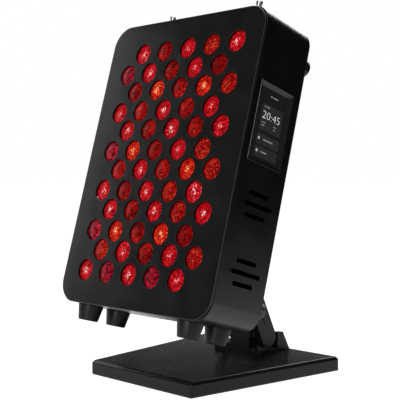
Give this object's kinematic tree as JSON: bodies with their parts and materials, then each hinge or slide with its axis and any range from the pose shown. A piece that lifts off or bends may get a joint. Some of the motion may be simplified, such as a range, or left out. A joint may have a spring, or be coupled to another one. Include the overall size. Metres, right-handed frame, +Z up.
{
  "type": "red light therapy panel",
  "caption": "Desk-top light panel on a two-hinge stand: rows of round red lamps in a thin rounded case, side display, fans, feet and hanging studs.",
  "frame": {"origin": "middle of the stand's foot, on the table", "axes": "+Z up, the lamps face -Y, +X is on the right of someone who looks at the lamps"},
  "size_m": [0.2156, 0.2071, 0.3757],
  "materials": {
    "powder_black": "fine satin powder coat",
    "cast_black": "satin enamel",
    "dark_steel": "blackened",
    "bright_steel": "polished",
    "plain_steel": "zinc plated",
    "pin_brass": "nickel flash",
    "foot_rubber": "moulded",
    "crimson_lens": "clear lens over a crimson lamp",
    "scarlet_lens": "clear lens over a scarlet lamp",
    "dim_lens": "clear lens over an infrared lamp",
    "violet_lens": "clear lens over an infrared lamp",
    "board_dark": "black solder mask on an aluminium core",
    "chip_yellow": "phosphor",
    "sink_black": "extruded, black anodised",
    "supply_alloy": "folded sheet",
    "control_dark": "dark solder mask",
    "black_plastic": "moulded",
    "rocker_plastic": "moulded",
    "ribbon_film": "polyimide film",
    "screen_glass": "cover glass over a lit display"
  },
  "bodies": {
    "stand_foot": {"base_mat": "foot_rubber", "base_plate": "powder_black", "hinge_seat": "cast_black", "seat_screws": "dark_steel"},
    "arm": {"arm_left": "cast_black", "arm_right": "cast_black", "arm_ties": "dark_steel", "lower_pivot": "dark_steel", "lower_friction_stacks": "dark_steel", "upper_pivot": "dark_steel", "upper_friction_stacks": "dark_steel"},
    "panel": {"front_plate": "powder_black", "side_band": "powder_black", "back_plate": "powder_black", "housing_posts": "plain_steel", "back_screws": "dark_steel", "lenses_crimson": "crimson_lens", "lenses_scarlet": "scarlet_lens", "lenses_near_infrared": "dim_lens", "lenses_far_infrared": "violet_lens", "led_chips": "chip_yellow", "led_board": "board_dark", "board_standoffs": "plain_steel", "heat_sink": "sink_black", "power_supply": "supply_alloy", "control_board": "control_dark", "control_spacers": "black_plastic", "display_bezel": "black_plastic", "display_glass": "screen_glass", "display_module": "black_plastic", "display_ribbon": "ribbon_film", "fan_frames": "black_plastic", "fan_screws": "dark_steel", "power_inlet": "black_plastic", "inlet_pins": "pin_brass", "switch_frame": "black_plastic", "bottom_feet": "foot_rubber", "rear_bumpers": "foot_rubber", "hanging_studs": "bright_steel", "stud_nuts": "bright_steel", "panel_bracket": "powder_black", "bracket_screws": "dark_steel"},
    "fan_rotor_left": {"fan_rotor_left": "black_plastic"},
    "fan_rotor_right": {"fan_rotor_right": "black_plastic"},
    "switch_rocker": {"switch_rocker": "rocker_plastic"}
  },
  "joints": [
    {"name": "stand_tilt", "type": "hinge", "parent": "stand_foot", "child": "arm", "pos_m": [0, 0.0559, 0.0323], "axis": [-1, 0, 0], "range_deg": [-6, 45]},
    {"name": "panel_tilt", "type": "hinge", "parent": "arm", "child": "panel", "pos_m": [0, -0.00012, 0.15381], "axis": [-1, 0, 0], "range_deg": [-16, 50]},
    {"name": "fan_spin_left", "type": "hinge", "parent": "panel", "child": "fan_rotor_left", "pos_m": [-0.047, 0.00455, 0.25565], "axis": [0, -0.9615, 0.2748], "continuous": true},
    {"name": "fan_spin_right", "type": "hinge", "parent": "panel", "child": "fan_rotor_right", "pos_m": [0.047, 0.00455, 0.25565], "axis": [0, -0.9615, 0.2748], "continuous": true},
    {"name": "switch_rock", "type": "hinge", "parent": "panel", "child": "switch_rocker", "pos_m": [-0.064, -0.02719, 0.11911], "axis": [0, -0.2748, -0.9615], "range_deg": [0, 18]}
  ]
}
